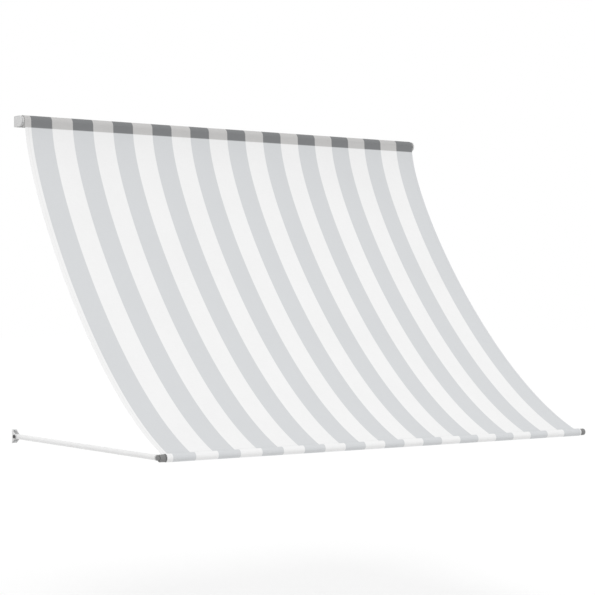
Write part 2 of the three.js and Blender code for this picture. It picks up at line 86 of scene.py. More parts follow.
# Cloth: roll, handles of the let-down curve, hem, pocket, and the lengths at which bands meet
ROLL_RADIUS = 30
ROLL_BORE = 20.3
CLOTH_THICKNESS = 0.7
TOP_HANDLE = 309
BAR_HANDLE = 715
HEM_RISE = math.radians(23.4)
HEM_LENGTH = 45
HEM_HALF = CLOTH_THICKNESS + 0.1
SEAM_FROM_BAR = 32
POCKET_RADIUS = 18.8
HEM_BAND = 78
FOLD_CUTS = (0, 104, 718, 1050, 1316, 1539, 1725, 1884, 2019)
WEAVE_AT_ROLL = 1000

# Stripes and stitches, in metres. The skew is a slope.
STRIPE_PAIR = 0.2348
STRIPE_START = 0.019617
STRIPE_SKEW = 0.0037
STITCH = 0.0042
SEAM_ROWS = (0.0025, 0.0115)
SIDE_HEM = 0.018
LET_DOWN_BELOW = -0.0335

SIDES = (("left", -1), ("right", 1))
FULL_TURN = 2 * math.pi
WHITE = (1, 1, 1, 1)


def seen(level):
    """The linear value that shows as this level out of 255."""
    share = level / 255
    return share / 12.92 if share <= 0.04045 else ((share + 0.055) / 1.055) ** 2.4


def grey(level, warm=0):
    """A neutral colour, a little warmer or cooler by so many levels."""
    return seen(level + warm), seen(level), seen(level - warm), 1


class Wire:
    """A value on its way through a finish. Sums written with it add the Math nodes."""

    def __init__(self, finish, socket):
        self.finish = finish
        self.socket = socket

    def __add__(self, other):
        return self.finish.sum("ADD", self, other)

    def __radd__(self, other):
        return self.finish.sum("ADD", other, self)

    def __sub__(self, other):
        return self.finish.sum("SUBTRACT", self, other)

    def __rsub__(self, other):
        return self.finish.sum("SUBTRACT", other, self)

    def __mul__(self, other):
        return self.finish.sum("MULTIPLY", self, other)

    def __rmul__(self, other):
        return self.finish.sum("MULTIPLY", other, self)

    def __truediv__(self, other):
        return self.finish.sum("DIVIDE", self, other)

    def __rtruediv__(self, other):
        return self.finish.sum("DIVIDE", other, self)

    def __abs__(self):
        return self.finish.sum("ABSOLUTE", self)

    def fraction(self):
        return self.finish.sum("FRACT", self)

    def wave(self):
        """Sine of a value counted in whole turns."""
        return self.finish.sum("SINE", self * FULL_TURN)

    def above(self, level, width):
        """0 below the level and 1 above it, with a ramp of this width between."""
        return self.finish.sum("MULTIPLY_ADD", self, 1 / width, 0.5 - level / width, clamp=True)


class Finish:
    """One material, built from nodes."""

    def __init__(self, name, holder=None):
        self.material = holder or bpy.data.materials.new(name)
        self.material.use_nodes = True
        self.tree = self.material.node_tree
        self.tree.nodes.clear()

    def node(self, kind, settings=None, sockets=None, output=0):
        """Adds a node: its settings first, then the values or links of its sockets."""
        made = self.tree.nodes.new(kind)
        for key, value in (settings or {}).items():
            setattr(made, key, value)
        for key, value in (sockets or {}).items():
            if isinstance(value, Wire):
                self.tree.links.new(value.socket, made.inputs[key])
            else:
                made.inputs[key].default_value = value
        return Wire(self, made.outputs[output]) if len(made.outputs) else made

    def sum(self, operation, *values, clamp=False):
        sockets = dict(enumerate(values))
        return self.node("ShaderNodeMath", {"operation": operation, "use_clamp": clamp}, sockets)

    def place(self, source="Object"):
        return self.node("ShaderNodeTexCoord", output=source)

    def apart(self, vector):
        return [self.node("ShaderNodeSeparateXYZ", None, {0: vector}, way) for way in "XYZ"]

    def point(self, x, y, z=0.0):
        return self.node("ShaderNodeCombineXYZ", None, {"X": x, "Y": y, "Z": z})

    def noise(self, where, scale, detail=2.0, stretch=(1, 1, 1)):
        mapped = self.node("ShaderNodeMapping", None, {"Vector": where, "Scale": stretch})
        settings = {"Vector": mapped, "Scale": scale, "Detail": detail}
        return self.node("ShaderNodeTexNoise", {"noise_dimensions": "3D"}, settings)

    def blend(self, factor, first, second):
        """From one colour to another."""
        sockets = {"Factor": factor, 6: first, 7: second}
        return self.node("ShaderNodeMix", {"data_type": "RGBA"}, sockets, 2)

    def relief(self, height, depth, strength=1.0):
        """Small ups and downs, with the depth in metres."""
        sockets = {"Height": height, "Distance": depth, "Strength": strength}
        return self.node("ShaderNodeBump", None, sockets)

    def done(self, **sockets):
        """Principled sockets by name, with words joined by underlines, then the output."""
        named = {key.replace("_", " "): value for key, value in sockets.items()}
        shader = self.node("ShaderNodeBsdfPrincipled", None, named)
        self.node("ShaderNodeOutputMaterial", None, {"Surface": shader})
        return self.material


def powder_coat(name, level, warm, gloss):
    """Baked powder paint: a fine orange peel, a little dust, and thinner gloss in patches."""
    paint = Finish(name)
    where = paint.place()
    peel = paint.noise(where, 900, 1.5)
    cloud = paint.noise(where, 26, 4)
    dust = paint.noise(where, 8, 5, (1, 1, 0.6)).above(0.55, 0.3)
    colour = paint.blend(cloud, grey(level - 3, warm), grey(level + 3, warm))
    colour = paint.blend(dust * 0.14, colour, grey(level - 24, warm + 2))
    return paint.done(
        Base_Color=colour,
        Roughness=gloss + cloud * 0.1 + dust * 0.12,
        Normal=paint.relief(peel, 0.00012, 0.5),
        Coat_Weight=0.12,
        Coat_Roughness=0.2,
    )


def moulded(name, level, gloss, grain):
    """Moulded plastic with a spark-eroded grain, paler where dust sits."""
    plastic = Finish(name)
    where = plastic.place()
    fine = plastic.noise(where, 1600, 3)
    cloud = plastic.noise(where, 40, 4)
    dust = plastic.noise(where, 14, 6).above(0.56, 0.25)
    colour = plastic.blend(cloud, grey(level - 4), grey(level + 5))
    colour = plastic.blend(dust * 0.1, colour, grey(150, 2))
    return plastic.done(
        Base_Color=colour,
        Roughness=gloss + cloud * 0.12 + dust * 0.15,
        Normal=plastic.relief(fine, grain, 0.6),
        Specular_IOR_Level=0.45,
    )


def zinc_plate(name):
    """Bright zinc with its faint patches."""
    metal = Finish(name)
    where = metal.place()
    sockets = {"Vector": where, "Scale": 420.0}
    patches = metal.node("ShaderNodeTexVoronoi", {"feature": "F1"}, sockets, "Color")
    tone = metal.apart(patches)[0]
    scratches = metal.noise(where, 300, 3, (1, 6, 6))
    return metal.done(
        Base_Color=metal.blend(tone, grey(178, -1), grey(208, -1)),
        Metallic=1.0,
        Roughness=0.26 + tone * 0.1 + scratches * 0.16,
        Normal=metal.relief(scratches, 0.00005, 0.5),
    )


def drawn_aluminium(name):
    """Drawn tube, with fine lines along it."""
    metal = Finish(name)
    where = metal.place()
    lines = metal.noise(where, 60, 4, (0.3, 24, 24))
    return metal.done(
        Base_Color=metal.blend(lines, grey(196), grey(222)),
        Metallic=1.0,
        Roughness=0.32 + lines * 0.16,
        Normal=metal.relief(lines, 0.00006, 0.5),
    )


def striped_cloth(name):
    """Woven stripes. Below the roll the let-down cloth is bleached, as it hangs in the sun."""
    cloth = Finish(name)
    x, y, z = cloth.apart(cloth.place())
    across, along, _ = cloth.apart(cloth.place("UV"))
    straight = x - STRIPE_START - (y - ROLL[1] / 1000) * STRIPE_SKEW
    stripe = (straight / STRIPE_PAIR + 0.25).fraction()
    dark = 1 - abs(stripe - 0.5).above(0.25, 0.006)
    let_down = 1 - z.above(LET_DOWN_BELOW, 0.004)

    warp = cloth.noise(cloth.point(across, along), 700, 2, (1, 0.03, 1))
    weft = cloth.noise(cloth.point(across, along), 700, 2, (0.03, 1, 1))
    broad = cloth.noise(cloth.place(), 3, 3)
    yarn = (warp + weft) * 0.5
    weave = (across * 900).wave() * (along * 900).wave()

    strong = cloth.blend(dark, grey(198, 1), grey(128, -1.5))
    pale = cloth.blend(dark, grey(242, 0), grey(214, -2))
    colour = cloth.blend(let_down, strong, pale)
    shade = cloth.blend(let_down, grey(110), grey(180))
    colour = cloth.blend((yarn - 0.36) * 0.28, colour, shade)
    colour = cloth.blend((broad - 0.4) * 0.1, colour, shade)

    rows = [abs(along - row).above(0.0007, 0.0003) for row in SEAM_ROWS]
    thread = 1 - rows[0] * rows[1]
    stitch = thread * abs((across / STITCH).fraction() - 0.5).above(0.12, 0.05)
    off_side_row = abs(abs(x - MIDDLE / 1000) - HALF / 1000 + SIDE_HEM).above(0.0005, 0.0003)
    side_stitch = (1 - off_side_row) * abs((along / STITCH).fraction() - 0.5).above(0.12, 0.05)
    sewn = cloth.sum("MAXIMUM", stitch, side_stitch)
    colour = cloth.blend(sewn * 0.3, colour, grey(150))
    return cloth.done(
        Base_Color=colour,
        Roughness=0.82 + yarn * 0.12,
        Normal=cloth.relief(weave * 0.3 + yarn + sewn * 1.2, 0.00018, 0.7),
        Sheen_Weight=0.08,
        Specular_IOR_Level=0.25,
    )


def braided_cord(name):
    """Strands crossing both ways round the cord, with painted shade darkening the valleys between
    them.
    """
    cord = Finish(name)
    x, y, z = cord.apart(cord.place())
    one = ((z * 1.3 + x * 1.6 + y) * 320).wave()
    other = ((z * 1.3 - x * 1.6 - y) * 320).wave()
    braid = cord.sum("MAXIMUM", one, other)
    # The colour follows the braid's height, darker in its valleys: painted shade.
    return cord.done(
        Base_Color=cord.blend(braid.above(0.1, 1.2), grey(176), grey(226)),
        Roughness=0.8,
        Normal=cord.relief(braid, 0.0004, 0.8),
        Specular_IOR_Level=0.3,
    )


# A paler copy of the light grey powder coat for the foot brackets and arm eyes: painted light,
# lifting the shade inside the foot channels.
foot_paint_lightened_against_shade = powder_coat("light grey powder coat lightened against shade", 226, 0, 0.4)
head_plastic = moulded("dark grey moulded plastic", 126, 0.42, 0.00008)
FINISHES = {
    "white_steel": powder_coat("white powder coat", 238, 0, 0.36),
    "bracket_steel": powder_coat("light grey powder coat", 206, 0, 0.4),
    "black_plastic": moulded("black moulded plastic", 52, 0.42, 0.00008),
    "grey_plastic": moulded("light grey moulded plastic", 216, 0.4, 0.00005),
    "zinc": zinc_plate("zinc plate"),
    "aluminium": drawn_aluminium("drawn aluminium"),
    "awning_cloth": striped_cloth("striped awning cloth"),
    "pull_cord": braided_cord("braided cord"),
}
SLOT_OF = {row["node"]: row["material_slot"] for row in frame["record"]["subparts"]}
for node, solid in frame["nodes"].items():
    for holder in solid.material_slots:
        holder.material = FINISHES[SLOT_OF[node]]


# Making solids. Each function works in millimetres and returns a bmesh.
def only(kind, made):
    """The vertices or the edges in what an operator made."""
    return [part for part in made if isinstance(part, kind)]


def turned(profile, middle, axis="x", sides=64):
    """(along, radius) points turned round a line through middle.

    Along counts in +X, or in -Y, away from the wall."""
    bm = bmesh.new()
    middle = Vector(middle)
    line = Vector((1, 0, 0)) if axis == "x" else Vector((0, -1, 0))
    if axis == "x":
        middle.x = 0
    points = [middle + line * along + Vector((0, 0, radius)) for along, radius in profile]
    spots = [bm.verts.new(point) for point in points]
    edges = [bm.edges.new(pair) for pair in zip(spots, spots[1:])]
    if profile[0][1] > 0:
        edges.append(bm.edges.new((spots[-1], spots[0])))
    bmesh.ops.spin(
        bm, geom=spots + edges, cent=middle, axis=line, angle=FULL_TURN, steps=sides,
        use_merge=True, use_duplicate=False)
    bmesh.ops.remove_doubles(bm, verts=bm.verts, dist=0.001)
    return bm


def raised(bm, face, way):
    """Draws one face out along a vector into a closed solid."""
    made = bmesh.ops.extrude_face_region(bm, geom=[face], use_keep_orig=True)["geom"]
    bmesh.ops.translate(bm, verts=only(BMVert, made), vec=way)
    return bm


def drawn_across(outline, start, end):
    """A (y, z) outline drawn out from one X to another."""
    bm = bmesh.new()
    face = bm.faces.new([bm.verts.new((start, y, z)) for y, z in outline])
    return raised(bm, face, (end - start, 0, 0))


def drawn_up(section, middle, half):
    """An (x, y) section drawn up from middle - half to middle + half."""
    bm = bmesh.new()
    face = bm.faces.new([bm.verts.new((x, y, middle - half)) for x, y in section])
    return raised(bm, face, (0, 0, 2 * half))


def together(*solids):
    """Several solids as one mesh."""
    whole = solids[0]
    for other in solids[1:]:
        carrier = bpy.data.meshes.new("carrier")
        other.to_mesh(carrier)
        other.free()
        whole.from_mesh(carrier)
        bpy.data.meshes.remove(carrier)
    return whole


def trimmed(bm, at, outward):
    """Cuts off what lies outside a plane and closes the cut."""
    geom = bm.verts[:] + bm.edges[:] + bm.faces[:]
    cut = bmesh.ops.bisect_plane(
        bm, geom=geom, dist=0.0001, plane_co=at, plane_no=outward, clear_outer=True,
        clear_inner=False)
    bmesh.ops.holes_fill(bm, edges=only(BMEdge, cut["geom_cut"]), sides=0)
    return bm


def nosed(bm, middle, radius, corner, cuts=9):
    """Trims a plate that stands off the wall to a round nose about its middle.

    Its sides run straight from the (y, z) corner to the nose."""
    reach = Vector((corner[0] - middle[1], corner[1]))
    lean = math.acos(radius / reach.length) + math.atan2(reach.y, reach.x)
    for step in range(cuts + 1):
        turn = lean + (math.pi - lean) * step / cuts
        for up in (1, -1):
            way = Vector((0, math.cos(turn), up * math.sin(turn)))
            trimmed(bm, Vector(middle) + way * radius, way)
    return bm


def near(value, wanted, within=0.1):
    """Whether a value is the wanted one, within so many millimetres."""
    return abs(value - wanted) < within


def rounded(bm, radius, picks, segments=5):
    """Rounds the edges whose middle passes the test."""
    edges = [edge for edge in bm.edges if picks((edge.verts[0].co + edge.verts[1].co) / 2)]
    bmesh.ops.bevel(
        bm, geom=edges, offset=radius, offset_type="OFFSET", segments=segments, profile=0.5,
        affect="EDGES", material=-1)
    return bm


def d_outline(reach, half, sides=28):
    """A D lying just off the wall, its round nose about a point at this reach."""
    turns = [math.pi / 2 + math.pi * step / sides for step in range(sides + 1)]
    nose = [(-reach + half * math.cos(turn), half * math.sin(turn)) for turn in turns]
    return [(-0.3, half), *nose, (-0.3, -half)]


def end_face(bm, towards):
    """The largest face at the far end of a solid."""
    towards = Vector(towards)
    flat = [face for face in bm.faces if abs(face.normal.dot(towards)) > 0.99]
    reach = max(face.calc_center_median().dot(towards) for face in flat)
    level = [face for face in flat if face.calc_center_median().dot(towards) > reach - 0.01]
    return max(level, key=lambda face: face.calc_area())


def recessed(bm, towards, rim, depth):
    """Sinks the end face inside a rim."""
    bm.normal_update()
    face = end_face(bm, towards)
    bmesh.ops.inset_individual(bm, faces=[face], thickness=rim, depth=0)
    bmesh.ops.inset_individual(bm, faces=[face], thickness=0.4, depth=-depth)
    return bm


def piece(bm, name, body, slot, stands_for=(), edge=0.0, side=1, finish=None):
    """Sets a finished solid in the frame, in metres, riding on its body.

    It is made for the right end, and side=-1 mirrors it to the left one."""
    if side < 0:
        bmesh.ops.scale(bm, verts=bm.verts, vec=(-1, 1, 1))
    bmesh.ops.recalc_face_normals(bm, faces=bm.faces)
    bmesh.ops.translate(bm, verts=bm.verts, vec=(MIDDLE, 0, 0))
    bmesh.ops.scale(bm, verts=bm.verts, vec=(0.001, 0.001, 0.001))
    mesh = bpy.data.meshes.new(name)
    bm.to_mesh(mesh)
    bm.free()
    mesh.materials.append(finish or FINISHES[slot])
    mesh.shade_smooth()
    obj = bpy.data.objects.new(name, mesh)
    bpy.context.scene.collection.objects.link(obj)
    sharp = math.radians(40)
    if edge:
        soft = obj.modifiers.new("soft edges", "BEVEL")
        soft.width = edge / 1000
        soft.segments = 2
        soft.limit_method = "ANGLE"
        soft.angle_limit = sharp
        soft.harden_normals = True
    else:
        mesh.set_sharp_from_angle(angle=sharp)
    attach(obj, body)
    if stands_for:
        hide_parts(*stands_for)
    return obj


# Camera, set as the photograph's
camera = bpy.data.objects.new("camera", bpy.data.cameras.new("camera"))
camera.data.sensor_width = 36
camera.data.lens = 101.9
camera.location = (-3.7755, -7.7886, -0.8976)
camera.rotation_euler = (math.pi / 2 + 0.001, 0, -0.6146)
camera.data.clip_end = 200
bpy.context.scene.collection.objects.link(camera)
bpy.context.scene.camera = camera


# Roller
def wound_cloth(turns=10, last_step=0.024):
    """The turns on the tube, seen as grooves at the ends.

    The outside steps in by this share of the radius where the cloth leaves at the front."""
    pitch = (ROLL_RADIUS - ROLL_BORE) / turns
    left = []
    for turn in range(turns):
        radius = ROLL_BORE + turn * pitch
        left += [
            (-HALF + 0.5, radius), (-HALF, radius + 0.25 * pitch), (-HALF, radius + 0.75 * pitch)]
    left.append((-HALF + 0.3, ROLL_RADIUS))
    profile = left + [(-along, radius) for along, radius in reversed(left)]
    bm = bmesh.new()
    middle = Vector(ROLL)
    spots = [bm.verts.new(middle + Vector((along, -radius, 0))) for along, radius in profile]
    edges = [bm.edges.new(pair) for pair in zip(spots, spots[1:] + spots[:1])]
    bm.faces.new(spots)
    made = bmesh.ops.spin(
        bm, geom=spots + edges, cent=middle, axis=(1, 0, 0), angle=-FULL_TURN, steps=96,
        use_merge=False, use_duplicate=False)
    last = only(BMEdge, made["geom_last"])
    last_spots = {vert for edge in last for vert in edge.verts}
    bmesh.ops.contextual_create(bm, geom=last)
    for vert in bm.verts:
        arm = vert.co - middle
        turn = math.atan2(arm.z, -arm.y) % FULL_TURN
        if vert in last_spots:
            turn = FULL_TURN
        elif turn > FULL_TURN - 0.01:
            turn = 0
        shrink = 1 - last_step * turn / FULL_TURN
        vert.co = middle + Vector((arm.x, arm.y * shrink, arm.z * shrink))
    weave = bm.loops.layers.uv.new("weave")
    for face in bm.faces:
        centre = face.calc_center_median() - middle
        base = math.atan2(centre.z, -centre.y)
        for loop in face.loops:
            arm = loop.vert.co - middle
            turn = math.atan2(arm.z, -arm.y)
            turn += FULL_TURN * round((base - turn) / FULL_TURN)
            along = WEAVE_AT_ROLL + turn * ROLL_RADIUS
            loop[weave].uv = ((loop.vert.co.x + MIDDLE) / 1000, along / 1000)
    return bm


piece(wound_cloth(), "cloth_roll", "roller", "awning_cloth", ["wound_cloth"])

# Turned profiles, as (x, radius) points
COLLAR_PLUG = [
    (1210, 0), (1210, 16.2), (1212, 18.2), (1250.3, 18.2), (1250.3, 23.2), (1251, 24),
    (1256.4, 24), (1256.8, 23.3), (1257.2, 24), (1258.2, 24), (1259.2, 22.6), (1259.2, 19),
    (1258.6, 18.2), (1258.6, 8.4), (1259.2, 7.6), (1259.2, PIN), (1266.2, PIN), (1267, 4.2),
    (1267, 0),
]
SHAFT_PLUG = [
    (1210, 0), (1210, 16.2), (1212, 18.2), (1250, 18.2), (1250, PIN), (1266.2, PIN), (1267, 4.2),
    (1267, 0),
]
PULLEY = [
    (1250.3, PIN + PIN_ROOM), (1250.3, 16), (1250.8, 16.5), (1251.0, 16.5), (1251.6, 15.4),
    (1251.8, 13.6), (1252.4, 12.9), (1253.5, 12.7), (1254.6, 12.9), (1255.2, 13.6),
    (1255.4, 15.4), (1256.0, 16.5), (1256.3, 16.5), (1256.7, 16), (1256.7, 9.6), (1257.3, 9),
    (1258.6, 9), (1259.1, 8.5), (1259.1, PIN + PIN_ROOM),
]
piece(
    turned(COLLAR_PLUG, ROLL), "collar_plug", "roller", "grey_plastic", ["left_roller_plug"],
    side=-1)
piece(turned(SHAFT_PLUG, ROLL), "shaft_plug", "roller", "grey_plastic", ["right_roller_plug"])
piece(turned(PULLEY, ROLL), "cord_wheel", "roller", "grey_plastic", ["cord_pulley"])


# Head brackets
def head_bracket():
    """A flange on the wall and a D-shaped cheek, bent from one sheet, with two small gussets."""
    inside, outside = CHEEK
    reach = HEAD_HALF - ROLL[1]
    section = [
        (FLANGE_EDGE, 0), (outside, 0), (outside, -reach), (inside, -reach), (inside, -PLATE),
        (FLANGE_EDGE, -PLATE),
    ]
    bm = drawn_up(section, 0, HEAD_HALF)
    rounded(bm, 4, lambda at: near(at.x, outside) and near(at.y, 0) and near(at.z, 0, 1))
    rounded(bm, 5, lambda at: near(at.x, FLANGE_EDGE) and near(at.y, -PLATE / 2))
    nosed(bm, (0, ROLL[1], 0), HEAD_HALF, (ROLL[1], HEAD_HALF), 14)
    gusset = [(inside + 1, -2), (inside - 6, -2), (inside - 6, -3.4), (inside + 1, -11)]
    return together(bm, drawn_up(gusset, 20, 1.5), drawn_up(gusset, -20, 1.5))


def hex_screw(x, z, size=4.6, washer=6.5):
    """A wall screw's hexagon head on its washer, on the face of a bracket's plate."""
    top = PLATE + 1.2
    disc = turned([(PLATE, 0), (PLATE, washer), (top, washer), (top, 0)], (x, 0, z), "y", 40)
    bm = bmesh.new()
    upright = Matrix.Rotation(math.pi / 2, 4, "X")
    head = bmesh.ops.create_circle(
        bm, cap_ends=True, radius=size, segments=6,
        matrix=Matrix.Translation((x, 0.2 - top, z)) @ upright)
    raised(bm, head["verts"][0].link_faces[0], (0, -3.8, 0))
    return together(disc, bm)


SHAFT_BUSH = [
    (1259.4, PIN + PIN_ROOM), (1259.4, 11.4), (1260, 12), (1261.7, 12), (1261.7, 8), (1265, 8),
    (1265, PIN + PIN_ROOM),
]
for name, side in SIDES:
    piece(
        head_bracket(), name + "_head_plate", "wall_parts", "bracket_steel",
        [name + "_head_bracket"], edge=0.4, side=side)
    piece(
        turned(SHAFT_BUSH, ROLL), name + "_shaft_ring", "wall_parts", "black_plastic",
        [name + "_shaft_bush"], side=side)
    cover = drawn_across(d_outline(-ROLL[1], HEAD_HALF), CHEEK[1] + 0.3, CHEEK[1] + 4.3)
    recessed(cover, (1, 0, 0), 3.4, 0.8)
    piece(
        cover, name + "_cheek_cover", "wall_parts", "grey_plastic", [name + "_bracket_cover"],
        edge=0.7, side=side)
    screws = together(*[hex_screw(x, 0) for x in HEAD_SCREWS])
    piece(screws, name + "_head_screws", "wall_parts", "zinc", edge=0.3, side=side)


# Pull cord and its tensioner
def swept_round(bm, edges, about, angle, steps=24):
    """Carries the cord's open end round a point, and returns its new end."""
    ends = list({vert for edge in edges for vert in edge.verts})
    made = bmesh.ops.spin(
        bm, geom=ends + edges, cent=about, axis=(1, 0, 0), angle=-angle, steps=steps,
        use_merge=False, use_duplicate=False)
    return only(BMEdge, made["geom_last"])


def swept_along(bm, edges, way, steps=24):
    """Carries the cord's open end along a straight strand, and returns its new end."""
    for _ in range(steps):
        made = bmesh.ops.extrude_edge_only(bm, edges=edges)["geom"]
        moved = only(BMVert, made)
        bmesh.ops.translate(bm, verts=moved, vec=way / steps)
        edges = [edge for edge in only(BMEdge, made) if all(vert in moved for vert in edge.verts)]
    return edges


def pull_cord():
    """One endless loop: round the pulley, down, round the peg and back."""
    top = Vector((CORD_X, ROLL[1], ROLL[2]))
    bottom = Vector((CORD_X, TENSIONER[1], TENSIONER[2]))
    drop = bottom - top
    down = drop.normalized()
    front = Vector((0, down.z, -down.y))
    spread = math.asin((CORD_ON_PULLEY - CORD_ON_PEG) / drop.length)
    out = front * math.cos(spread) + down * math.sin(spread)
    fall = down * math.cos(spread)
    lean = front * math.sin(spread)
    straight = drop.length * math.cos(spread)
    lie = Matrix.Rotation(math.atan2(out.z, out.y), 4, "X")
    bm = bmesh.new()
    ring = bmesh.ops.create_circle(
        bm, cap_ends=False, radius=CORD_RADIUS, segments=12,
        matrix=Matrix.Translation(top + out * CORD_ON_PULLEY) @ lie)
    edges = list({edge for vert in ring["verts"] for edge in vert.link_edges})
    edges = swept_round(bm, edges, top, math.pi + 2 * spread)
    edges = swept_along(bm, edges, (fall + lean) * straight)
    edges = swept_round(bm, edges, bottom, math.pi - 2 * spread)
    swept_along(bm, edges, (lean - fall) * straight)
    bmesh.ops.remove_doubles(bm, verts=bm.verts, dist=0.05)
    return bm


def cord_tensioner():
    """A plate on the wall, a blade that stands off it, and a grooved peg for the cord."""
    far = CORD_X - 2.3
    back = far - 18
    blade = far - 5
    reach = TENSIONER[1] - 12
    section = [(back, 0), (far, 0), (far, reach), (blade, reach), (blade, -PLATE), (back, -PLATE)]
    bm = drawn_up(section, TENSIONER[2], HOLDER_HALF)
    rounded(
        bm, 2, lambda at: near(at.x, far) and near(at.y, 0) and near(at.z, TENSIONER[2], 1))
    nosed(bm, TENSIONER, 12, (-PLATE, HOLDER_HALF))
    peg = [
        (-1, 0), (-1, 10.6), (0, 10.6), (0.8, 9.2), (2.3, 8.7), (3.8, 9.2), (4.6, 11.4), (5, 12),
        (5.5, 11.6), (5.5, 4), (4.9, 3.4), (4.9, 0),
    ]
    return together(bm, turned([(far + along, radius) for along, radius in peg], TENSIONER))


piece(pull_cord(), "endless_cord", "wall_parts", "pull_cord", ["pull_cord"])
piece(
    cord_tensioner(), "cord_holder", "wall_parts", "grey_plastic", ["cord_tensioner"], edge=0.3)
screws = together(*[
    hex_screw(HOLDER_SCREW_X, TENSIONER[2] + up, size=4, washer=5.4) for up in HOLDER_SCREWS])
piece(screws, "cord_holder_screws", "wall_parts", "zinc", edge=0.3)


# Foot brackets with their bolts and knobs. Points count from the pivot's X.
def from_pivot(points):
    return [(PIVOT[0] + x, other) for x, other in points]


def foot_bracket():
    """A channel bent from sheet: the wall plate between two ears with round noses."""
    inside, outside = EAR
    reach = PIVOT[1] - 15
    section = from_pivot([
        (-outside, 0), (outside, 0), (outside, reach), (inside, reach),
        (inside, -PLATE), (-inside, -PLATE), (-inside, reach), (-outside, reach),
    ])
    bm = drawn_up(section, PIVOT[2], FOOT_HALF)
    rounded(
        bm, 3,
        lambda at: near(abs(at.x - PIVOT[0]), outside) and near(at.y, 0) and near(at.z, PIVOT[2], 1))
    return nosed(bm, (0, PIVOT[1], PIVOT[2]), 13, (-PLATE, FOOT_HALF))


def lobed_knob(radius=9, lobe=0.6, lobes=8, steps=96):
    """A low grip with lobes and a sunk face."""
    outline = []
    for step in range(steps):
        turn = FULL_TURN * step / steps
        reach = radius - lobe * (0.5 - 0.5 * math.cos(lobes * turn))
        outline.append((PIVOT[1] + reach * math.cos(turn), PIVOT[2] + reach * math.sin(turn)))
    bm = drawn_across(outline, PIVOT[0] + 13.3, PIVOT[0] + 18.3)
    return recessed(bm, (1, 0, 0), 2.2, 0.7)


PIVOT_BOLT = from_pivot([
    (-14.9, 0), (-14.9, 4), (-14.6, 6.4), (-14, 7.6), (-13.3, 8), (-13.3, PIN), (16.5, PIN),
    (16.5, 0),
])
for name, side in SIDES:
    piece(
        foot_bracket(), name + "_foot_channel", "wall_parts", "bracket_steel",
        [name + "_foot_bracket"], edge=0.4, side=side, finish=foot_paint_lightened_against_shade)
    piece(
        turned(PIVOT_BOLT, PIVOT, sides=48), name + "_foot_bolt", "wall_parts", "zinc",
        [name + "_pivot_bolt"], side=side)
    piece(
        lobed_knob(), name + "_foot_knob", "wall_parts", "black_plastic",
        [name + "_pivot_knob"], edge=0.9, side=side)
    screws = together(*[hex_screw(PIVOT[0], PIVOT[2] + up) for up in FOOT_SCREWS])
    piece(screws, name + "_foot_screws", "wall_parts", "zinc", edge=0.3, side=side)

# Arms. The tubes' profiles count from the pivot, along the arm.
EYE_DISC = from_pivot([
    (-9, PIN + PIN_ROOM), (-9, 11.6), (-8.1, 12.5), (8.1, 12.5), (9, 11.6), (9, PIN + PIN_ROOM)])
EYE_SHANK = [
    (6, 0), (6, 8.6), (16, 9.4), (17.6, 10.4), (19.4, 12.1), (21.7, 12.1), (21.7, 11), (60, 11),
    (60, 0),
]
OUTER_TUBE = [
    (22, 11.3), (22, 12.1), (22.4, 12.5), (1388.3, 12.5), (1388.7, 12.1), (1388.7, 11.3)]
GUIDE_BUSH = [
    (1349, 10.3), (1349, 11), (1389, 11), (1389, 13.2), (1389.6, 13.8), (1391.2, 13.8),
    (1391.5, 13.4), (1391.8, 13.8), (1393.6, 13.8), (1395, 12.4), (1395, 10.3),
]
INNER_TUBE = [(928.7, 8.5), (928.7, 10), (1420.7, 10), (1420.7, 8.5)]
SLEEVE = [
    (-33, 10.3), (-33, 11.6), (-31.9, 12.8), (-27.6, 12.8), (-27.1, 12.3), (-25.9, 12.3),
    (-25.4, 12.8), (-4, 12.8), (-4, 10.3),
]


def elbow_head(room):
    """The moulded head: a barrel round the bar's pin and a sleeve on the inner tube."""
    bore = PIN + room
    barrel = from_pivot([
        (-13, bore), (-13, 15.4), (-12.5, 16.5), (-11.4, 17), (11.4, 17), (12.5, 16.5),
        (13, 15.4), (13, 12.4), (12.3, 11.8), (12.3, bore),
    ])
    return together(
        turned(barrel, BAR, sides=80), turned(SLEEVE, (PIVOT[0], BAR[1], BAR[2]), "y"))


for name, side in SIDES:
    arm = name + "_arm"
    slider = name + "_slider"
    eye = together(turned(EYE_DISC, PIVOT), turned(EYE_SHANK, PIVOT, "y"))
    head = elbow_head(PIN_ROOM if name == "left" else OPEN_PIN_ROOM)
    piece(
        eye, name + "_foot_eye", arm, "bracket_steel", [name + "_arm_eye"], edge=0.3, side=side,
        finish=foot_paint_lightened_against_shade)
    piece(
        turned(OUTER_TUBE, PIVOT, "y"), name + "_arm_tube", arm, "white_steel",
        [name + "_outer_tube"], side=side)
    piece(
        turned(GUIDE_BUSH, PIVOT, "y"), name + "_tube_bush", arm, "grey_plastic",
        [name + "_guide_bush"], side=side)
    piece(
        turned(INNER_TUBE, PIVOT, "y"), name + "_slide_tube", slider, "white_steel",
        [name + "_inner_tube"], side=side)
    piece(
        head, name + "_elbow", slider, "black_plastic", [name + "_elbow_head"], edge=0.25,
        side=side, finish=head_plastic)

# Front bar's ends
BAR_PLUG = [
    (1205, 0), (1205, 13.2), (1207, 15.2), (1250.3, 15.2), (1250.3, 17.4), (1250.9, 18),
    (1253.3, 18), (1254.3, 17), (1254.3, 9), (1255.2, 9), (1255.2, PIN), (1286.5, PIN),
    (1286.5, 0),
]
PIN_CAP = [
    (1287.3, 0), (1287.3, PIN + PIN_ROOM), (1281.8, PIN + PIN_ROOM), (1281.8, 8.6), (1282.2, 9),
    (1285.2, 9), (1286.4, 8.7), (1287.4, 7.9), (1288.2, 6.4), (1288.6, 4.4), (1288.8, 2),
    (1288.8, 0),
]
for name, side in SIDES:
    piece(
        turned(BAR_PLUG, BAR), name + "_bar_end", "front_bar", "black_plastic",
        [name + "_bar_plug"], side=side, finish=head_plastic)
    piece(
        turned(PIN_CAP, BAR), name + "_pin_dome", "front_bar", "black_plastic",
        [name + "_pin_cap"], side=side, finish=head_plastic)

